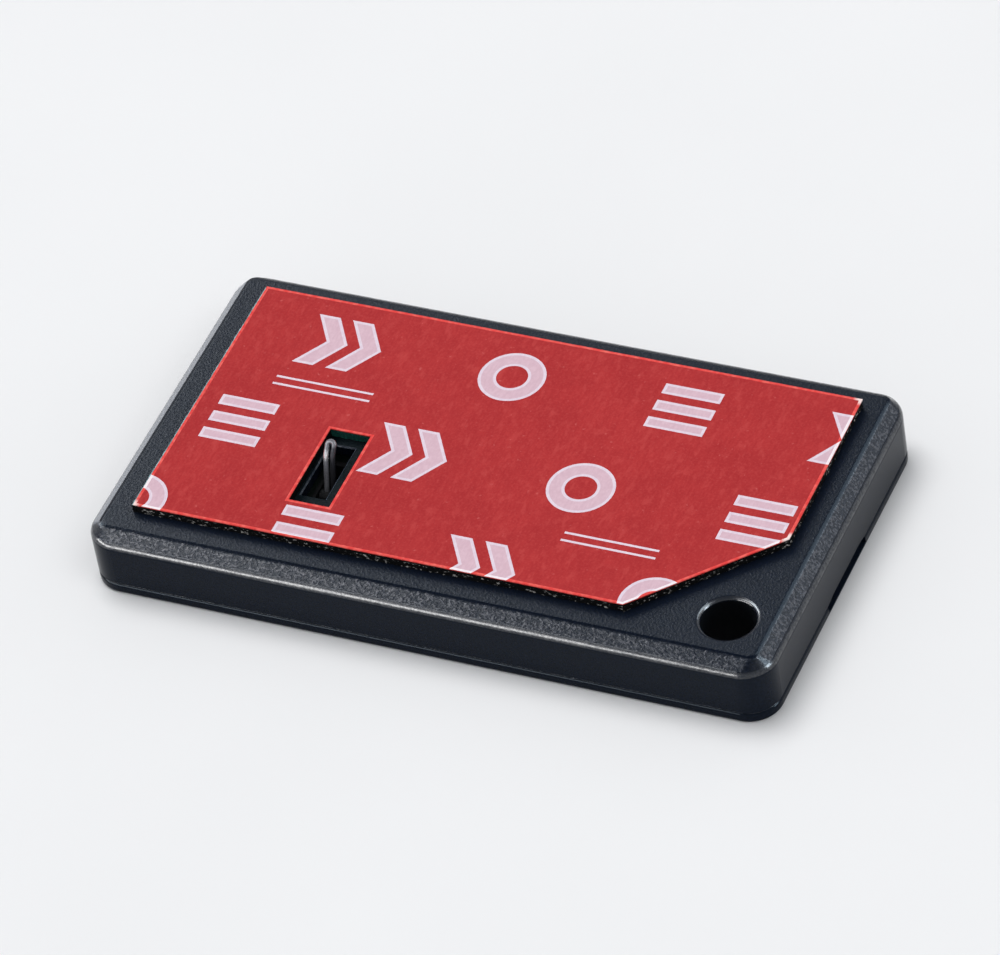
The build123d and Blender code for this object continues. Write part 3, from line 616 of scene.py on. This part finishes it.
def print_marks():
    """Plain marks in the slanting rows of a printed roll: pairs of chevrons, rings and bars, and thin rules.

    Each is an outline, the hole in it or None, and whether it is wide enough for a paler rim.
    """
    marks = []
    for row in range(PRINT_ROWS):
        for column in PRINT_COLUMNS:
            x = PRINT_FROM[0] + PRINT_ROW[0] * row + PRINT_PITCH * column
            y = PRINT_FROM[1] + PRINT_ROW[1] * row
            kind = (column + row) % 3
            if kind == 0:
                marks += [(placed(chevron(*CHEVRON), x + shift, y), None, True) for shift in CHEVRON_SHIFTS]
            elif kind == 1:
                outer, inner = (placed(disc(radius), x, y) for radius in RING)
                marks.append((outer, inner, True))
            else:
                marks += [(placed(bar(*BAR), x, y + shift), None, True) for shift in BAR_SHIFTS]
    for x, y, length in RULES:
        marks += [(placed(bar(length, RULE_WIDTH), x, y + shift), None, False) for shift in RULE_SHIFTS]
    return marks


def film_height(x, y, edge):
    """Lift of the film off flat, in mm: faint waves, and a little curl at its cut edge."""
    def waves(scale, place):
        return noise.noise(Vector((x * scale, y * scale, place)))

    wave = sum(share * waves(scale, place) for share, scale, place in FILM_WAVES)
    curl = 0.5 + 0.5 * waves(*FILM_CURL) if edge else 0.0
    return FILM_LIFT * (0.5 + 0.33 * wave + 0.6 * curl)


def film_layout():
    """Points of the film in plan, and its triangles, each with its material and its ink.

    The material is 1 in the band along the cut edges. The ink is 0 for none, 1 in the core of a mark, 2 in its
    rim and 3 in the band.
    """
    outline = pad_corners("release_liner")
    outline = [(max(x, outline[0][0] + FILM_SHORT), y) for x, y in outline]
    cut_out = cut_out_corners()
    points, faces = [], []

    def loop(corners, pitch):
        """Adds a closed outline and gives its number."""
        walked = walk(corners, pitch)
        faces.append(list(range(len(points), len(points) + len(walked))))
        points.extend(walked)
        return len(faces) - 1

    film, inner = loop(outline, FILM_PITCH / 2), loop(drawn_in(outline, FILM_BAND), FILM_PITCH / 2)
    hole, around = loop(cut_out, FILM_PITCH / 2), loop(drawn_in(cut_out, -FILM_BAND), FILM_PITCH / 2)
    marks, cores = [], []
    for shape, opening, wide in print_marks():
        marks.append((loop(shape, FILM_PITCH), loop(opening, FILM_PITCH) if opening else None))
        if wide:
            cores.append((
                loop(drawn_in(shape, INK_RIM), FILM_PITCH),
                loop(drawn_in(opening, -INK_RIM), FILM_PITCH) if opening else None,
            ))
    (left, front), (right, back) = outline[0], outline[3]
    count_x, count_y = int((right - left) / FILM_PITCH), int((back - front) / FILM_PITCH)
    for i in range(1, count_x):
        for j in range(1, count_y):
            shift = 0.5 * (j % 2)
            x, y = left + (i + shift) * (right - left) / count_x, front + j * (back - front) / count_y
            points.append(Vector((x, y)))
    made = delaunay_2d_cdt(points, [], faces, 0, 1e-6)
    places, triangles, owners = made[0], made[2], made[5]
    layout = []
    for triangle, ids in zip(triangles, owners):
        if film not in ids or hole in ids:
            continue
        edge = inner not in ids or around in ids
        inked = any(a in ids and b not in ids for a, b in marks)
        core = any(a in ids and b not in ids for a, b in cores)
        layout.append((triangle, int(edge), 0 if not inked else 3 if edge else 1 if core else 2))
    return places, layout


def release_film():
    """The film as a thin sheet, and the print as a coat on it."""
    points, layout = film_layout()
    low, high = (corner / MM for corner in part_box("release_liner"))
    edge_points = {k for triangle, edge, ink in layout if edge for k in triangle}
    film, coat = bmesh.new(), bmesh.new()
    top, inked = {}, {}
    for k, point in enumerate(points):
        z = high.z + film_height(point.x, point.y, k in edge_points)
        top[k] = film.verts.new((point.x, point.y, z))
        inked[k] = coat.verts.new((point.x, point.y, z + INK_T))
    for triangle, edge, ink in layout:
        film.faces.new([top[k] for k in triangle]).material_index = edge
        if ink:
            coat.faces.new([inked[k] for k in triangle]).material_index = ink - 1
    for bm in (film, coat):
        bmesh.ops.delete(bm, geom=[v for v in bm.verts if not v.link_faces], context="VERTS")
        if next(iter(bm.faces)).normal.z < 0:
            bmesh.ops.reverse_faces(bm, faces=bm.faces[:])
    close_below(film, high.z - low.z)
    sheet = mesh_object("release_film", film, red_film(), red_film_edge())
    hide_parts("release_liner")
    print_coat = mesh_object(
        "film_print", coat,
        pale_ink("ink_core", rgb(212, 178, 191), rgb(220, 188, 200)),
        pale_ink("ink_rim", rgb(224, 205, 219), rgb(232, 216, 227)),
        # ink in the band along the cut edge is painted paler still, as part of the edge's painted highlight
        pale_ink("ink_edge", rgb(246, 232, 238), rgb(250, 240, 244)),
    )
    for piece in (sheet, print_coat):
        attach(piece, "release_liner")


def close_below(bm, depth):
    """Gives an open sheet its thickness downwards."""
    bm.normal_update()
    top_faces = list(bm.faces)
    rim = [e for e in bm.edges if e.is_boundary]
    low = {v: bm.verts.new(v.co - Vector((0, 0, depth))) for v in list(bm.verts)}
    for face in top_faces:
        bm.faces.new([low[v] for v in reversed(face.verts)]).material_index = face.material_index
    for edge in rim:
        loop = edge.link_loops[0]
        a, b = loop.vert, loop.link_loop_next.vert
        bm.faces.new((b, a, low[a], low[b])).material_index = 1


# Tinned ends of the chips: the share of the length at each end, and how far they stand off the body in mm
CHIP_ENDS = {
    "chip_capacitors": 0.24,
    "chip_resistors": 0.2,
    "chip_inductors": 0.2,
    "bulk_capacitor": 0.16,
    "status_led": 0.2,
}
CHIP_END_T = 0.012
WELD_WITHIN = 0.001


def separate_boxes(node):
    """Low and high corners, in mm, of each separate solid of a node."""
    bm = bmesh.new()
    bm.from_mesh(frame["nodes"][node].data)
    bmesh.ops.transform(bm, matrix=frame["nodes"][node].matrix_world, verts=bm.verts)
    bmesh.ops.remove_doubles(bm, verts=bm.verts, dist=WELD_WITHIN * MM)
    left, boxes = set(bm.verts), []
    while left:
        front, places = [left.pop()], []
        while front:
            vert = front.pop()
            places.append(vert.co / MM)
            near = {edge.other_vert(vert) for edge in vert.link_edges} & left
            left -= near
            front += near
        boxes.append([Vector(pick(place[k] for place in places) for k in range(3)) for pick in (min, max)])
    bm.free()
    return boxes


def chip_ends():
    """Tinned ends, as thin jackets round both ends of each chip."""
    bm = bmesh.new()
    for node, share in CHIP_ENDS.items():
        for low, high in sorted(separate_boxes(node), key=lambda box: tuple(box[0])):
            size = high - low
            way = 0 if size.x > size.y else 1
            for side in (0, 1):
                a, b = low.copy(), high.copy()
                if side:
                    a[way] = high[way] - share * size[way]
                else:
                    b[way] = low[way] + share * size[way]
                # the face that is soldered to the board, on top here, stays where it is
                a, b = a - Vector((1, 1, 1)) * CHIP_END_T, b + Vector((1, 1, 0)) * CHIP_END_T
                place = Matrix.Translation((a + b) / 2) @ Matrix.Diagonal(b - a).to_4x4()
                bmesh.ops.create_cube(bm, size=1.0, matrix=place)
    tin = plain("tin_plate", rgb(190, 190, 186), rgb(168, 168, 166), 0.34, 0.9, scale=9.0)
    ends = mesh_object("chip_ends", bm, tin)
    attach(ends, "tag_body")


# Studio: levels of the surround from the horizon up, tints, and the floor
WORLD_LEVELS = ((0.0, 0.92), (0.45, 0.44), (1.0, 0.24))
WORLD_TINT = (0.94, 0.97, 1.0)
FRONT_CARD_TINT = (1.0, 0.97, 0.95)
SIDE_CARD_TINT = (0.80, 0.91, 1.0)
FLOOR_SIZE = 3000.0
# a hair above the object's foot, so that its underside shows from below
FLOOR_AT = 0.05
# azimuth, height, width and height of the lamp in degrees, distance in mm, radiance
SOFT_LAMPS = {
    "key": (150.0, 72.0, 36.0, 36.0, 3000.0, 4.9),
    "fill": (-20.0, 55.0, 30.0, 30.0, 3000.0, 1.9),
}
SHEEN_CARDS = {
    "front": (-136.0, 36.0, 50.0, 30.0, 1200.0, 2.0),
    "right": (15.0, 44.0, 40.0, 26.0, 1200.0, 1.8),
}
CASE_CARDS = {
    "case_front_edge": (-129.0, 6.0, 54.0, 14.0, 300.0, 15.0),
    "case_front_high": (-150.0, 45.0, 42.0, 20.0, 200.0, 5.4),
    "case_left": (178.0, 36.0, 30.0, 22.0, 1200.0, 9.0),
    "case_right": (44.0, 48.0, 50.0, 20.0, 1200.0, 6.5),
    "case_back_right": (45.0, 26.0, 30.0, 20.0, 1200.0, 1.6),
    "case_corner": (10.0, 17.0, 16.0, 26.0, 1200.0, 20.0),
    "case_back": (145.0, 40.0, 34.0, 24.0, 1200.0, 11.5),
}


def lamp(name, azimuth, rise, wide, tall, distance, radiance):
    """A rectangular lamp that faces the middle and spans the given angles, seen from there."""
    a, e = math.radians(azimuth), math.radians(rise)
    way = Vector((math.cos(a) * math.cos(e), math.sin(a) * math.cos(e), math.sin(e)))
    data = bpy.data.lights.new(name, "AREA")
    data.shape = "RECTANGLE"
    data.size, data.size_y = (2 * distance * MM * math.tan(math.radians(angle) / 2) for angle in (wide, tall))
    data.energy = radiance * math.pi * data.size * data.size_y
    made = bpy.data.objects.new(name, data)
    made.location = way * distance * MM
    made.rotation_mode = "QUATERNION"
    made.rotation_quaternion = way.to_track_quat("Z", "Y")
    made.visible_camera = False
    bpy.context.scene.collection.objects.link(made)
    return made


def studio():
    """Pale floor, two soft lamps, cards that only show as sheen, and a surround, paler towards the horizon."""
    world = bpy.data.worlds.new("studio")
    world.use_nodes = True
    nodes, links = world.node_tree.nodes, world.node_tree.links
    way = nodes.new("ShaderNodeTexCoord")
    height = nodes.new("ShaderNodeSeparateXYZ")
    levels = nodes.new("ShaderNodeValToRGB")
    stops = levels.color_ramp.elements
    while len(stops) < len(WORLD_LEVELS):
        stops.new(0.5)
    for stop, (position, level) in zip(stops, WORLD_LEVELS):
        stop.position = position
        stop.color = [level * tint for tint in WORLD_TINT] + [1.0]
    links.new(way.outputs["Generated"], height.inputs[0])
    links.new(height.outputs["Z"], levels.inputs["Fac"])
    links.new(levels.outputs["Color"], nodes["Background"].inputs["Color"])
    bpy.context.scene.world = world
    for name, settings in SOFT_LAMPS.items():
        lamp(name, *settings).visible_glossy = False
    case = bpy.data.collections.new("case")
    for name in ("rear_housing", "front_cover"):
        case.objects.link(frame["nodes"][name])
    for name, settings in (SHEEN_CARDS | CASE_CARDS).items():
        card = lamp(name, *settings)
        card.visible_diffuse = False
        if name in CASE_CARDS:
            card.data.color = FRONT_CARD_TINT if "front" in name or "back" in name else SIDE_CARD_TINT
            card.light_linking.receiver_collection = case
    bm = bmesh.new()
    place = Matrix.Translation((0, 0, FLOOR_AT))
    bmesh.ops.create_grid(bm, x_segments=4, y_segments=4, size=FLOOR_SIZE, matrix=place)
    finish = Finish("floor_paper", rgb(238, 238, 239), 0.9, specular=0.0)
    patch = finish.noise(0.02, 3.0, 0.5)
    finish.set(Base_Color=finish.mix(finish.ramp(patch, 0.3, 0.7), rgb(237, 237, 238), rgb(239, 239, 240)))
    mesh_object("floor", bm, finish)


def camera():
    """The camera of the reference view."""
    azimuth, rise, roll = (math.radians(a) for a in (CAMERA_AZIMUTH, CAMERA_ELEVATION, CAMERA_ROLL))
    outward = Vector((math.sin(azimuth), -math.cos(azimuth), 0))
    back = outward * math.cos(rise) + Vector((0, 0, math.sin(rise)))
    level = Vector((math.cos(azimuth), math.sin(azimuth), 0))
    upright = back.cross(level)
    right = level * math.cos(roll) - upright * math.sin(roll)
    up = back.cross(right)
    data = bpy.data.cameras.new("camera")
    data.lens, data.sensor_width = CAMERA_LENS, CAMERA_SENSOR
    data.clip_start, data.clip_end = CAMERA_CLIP
    made = bpy.data.objects.new("camera", data)
    turn = Matrix((right, up, back)).transposed().to_4x4()
    made.matrix_world = Matrix.Translation(Vector(CAMERA_AT) * MM) @ turn
    bpy.context.scene.collection.objects.link(made)
    bpy.context.scene.camera = made


camera()
studio()
dress_nodes()
foam_pad()
release_film()
chip_ends()
bpy.context.scene.view_settings.view_transform = "Standard"
